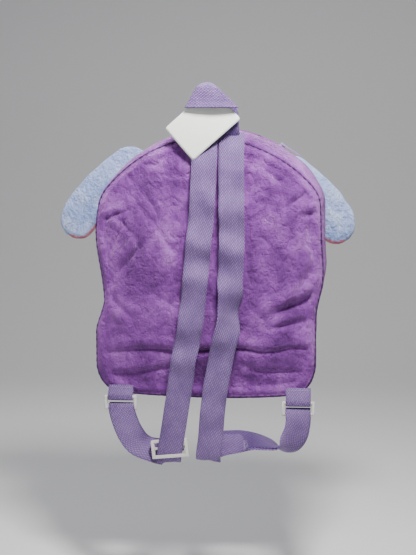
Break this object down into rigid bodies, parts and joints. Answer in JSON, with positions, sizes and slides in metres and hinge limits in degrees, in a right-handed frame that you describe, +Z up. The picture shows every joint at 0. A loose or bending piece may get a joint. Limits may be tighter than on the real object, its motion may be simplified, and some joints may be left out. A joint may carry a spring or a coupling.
{
  "type": "plush backpack",
  "caption": "Small child's plush backpack with webbing shoulder straps, buckle slides, grab loop, zipped mouth, floppy ears and a blank swing tag.",
  "frame": {"origin": "inside of the grab loop's fold, where a hook carries the bag", "axes": "+X to the right seen from behind, +Y from the back panel to the face, +Z up"},
  "size_m": [0.315, 0.1157, 0.3857],
  "materials": {
    "velour": "crushed plush velour",
    "plush_blue": "short plush",
    "plush_pink": "short plush",
    "plush_white": "short plush",
    "webbing": "woven twill ribbon",
    "lining": "plain woven",
    "foam": "polyester wadding",
    "white_plastic": "satin",
    "black_plastic": "glossy",
    "zip_tape": "woven tape",
    "zip_metal": "lacquered",
    "card": "coated card",
    "clear_plastic": "clear"
  },
  "bodies": {
    "pack": {"back_foam": "foam", "back_lining": "lining", "back_panel": "velour", "eye_left": "black_plastic", "eye_right": "black_plastic", "front_foam_lower": "foam", "front_lining_lower": "lining", "front_panel_lower": "plush_blue", "gusset_lining": "lining", "loop_left_sewn_end": "webbing", "loop_right_sewn_end": "webbing", "muzzle": "plush_white", "nose": "black_plastic", "side_gusset": "velour", "strap_left_sewn_end": "webbing", "strap_right_sewn_end": "webbing", "tab_left_sewn_end": "webbing", "tab_right_sewn_end": "webbing", "top_gusset_rear": "velour", "zip_tape_rear": "zip_tape", "zip_teeth_rear": "zip_tape"},
    "mouth_flap": {"front_panel_upper": "plush_blue", "front_foam_upper": "foam", "front_lining_upper": "lining", "top_gusset_front": "velour", "zip_tape_front": "zip_tape", "zip_teeth_front": "zip_tape"},
    "slider": {"zip_slider": "zip_metal"},
    "pull": {"zip_pull": "zip_metal"},
    "ear_left": {"ear_left_shell": "plush_blue", "ear_left_filling": "foam", "ear_left_lining": "plush_pink"},
    "ear_right": {"ear_right_shell": "plush_blue", "ear_right_filling": "foam", "ear_right_lining": "plush_pink"},
    "loop": {"grab_loop": "webbing", "tag_fastener": "clear_plastic"},
    "tag": {"hang_tag": "card"},
    "strap_left": {"strap_left_long_run": "webbing", "strap_left_outgoing_run": "webbing", "strap_left_return_run": "webbing", "ring_left": "white_plastic", "tab_left": "webbing"},
    "strap_right": {"strap_right_long_run": "webbing", "strap_right_outgoing_run": "webbing", "strap_right_return_run": "webbing", "ring_right": "white_plastic", "tab_right": "webbing"},
    "slide_left": {"adjuster_left": "white_plastic", "adjuster_left_webbing_end": "webbing"},
    "slide_right": {"adjuster_right": "white_plastic", "adjuster_right_webbing_end": "webbing"}
  },
  "joints": [
    {"name": "mouth_fold", "type": "hinge", "parent": "pack", "child": "mouth_flap", "pos_m": [0, 0.082, -0.06288], "axis": [-1, 0, 0], "range_deg": [0, 70]},
    {"name": "zip_travel", "type": "hinge", "parent": "pack", "child": "slider", "pos_m": [0, 0.056, -0.169], "axis": [0, -1, 0], "range_deg": [0, 63.6]},
    {"name": "pull_flip", "type": "hinge", "parent": "slider", "child": "pull", "pos_m": [0.0684, 0.056, -0.05868], "axis": [0, -1, 0], "range_deg": [0, 150]},
    {"name": "ear_left_flop", "type": "hinge", "parent": "pack", "child": "ear_left", "pos_m": [-0.078, 0.0834, -0.068], "axis": [0.7023, 0, -0.7119], "range_deg": [0, 65]},
    {"name": "ear_right_flop", "type": "hinge", "parent": "pack", "child": "ear_right", "pos_m": [0.0596, 0.0834, -0.0777], "axis": [0.7119, 0, 0.7023], "range_deg": [0, 65]},
    {"name": "loop_fold_back", "type": "hinge", "parent": "pack", "child": "loop", "pos_m": [0, -0.0005, -0.04], "axis": [-1, 0, 0], "range_deg": [0, 75], "stiffness_Nm_per_rad": 0.01},
    {"name": "tag_swing", "type": "hinge", "parent": "loop", "child": "tag", "pos_m": [0, -0.008, -0.008], "axis": [-1, 0, 0], "range_deg": [0, 8]},
    {"name": "strap_left_lift", "type": "hinge", "parent": "pack", "child": "strap_left", "pos_m": [-0.007, -0.0005, -0.058], "axis": [-0.3314, 0, -0.9435], "range_deg": [0, 75]},
    {"name": "strap_right_lift", "type": "hinge", "parent": "pack", "child": "strap_right", "pos_m": [0.0195, -0.0005, -0.058], "axis": [-0.2656, 0, 0.9641], "range_deg": [0, 75]},
    {"name": "adjuster_left_slide", "type": "slide", "parent": "strap_left", "child": "slide_left", "axis": [0.1601, 0, 0.9871], "range_m": [0, 0.036]},
    {"name": "adjuster_right_slide", "type": "slide", "parent": "strap_right", "child": "slide_right", "axis": [0.0856, 0, 0.9963], "range_m": [0, 0.036]}
  ]
}
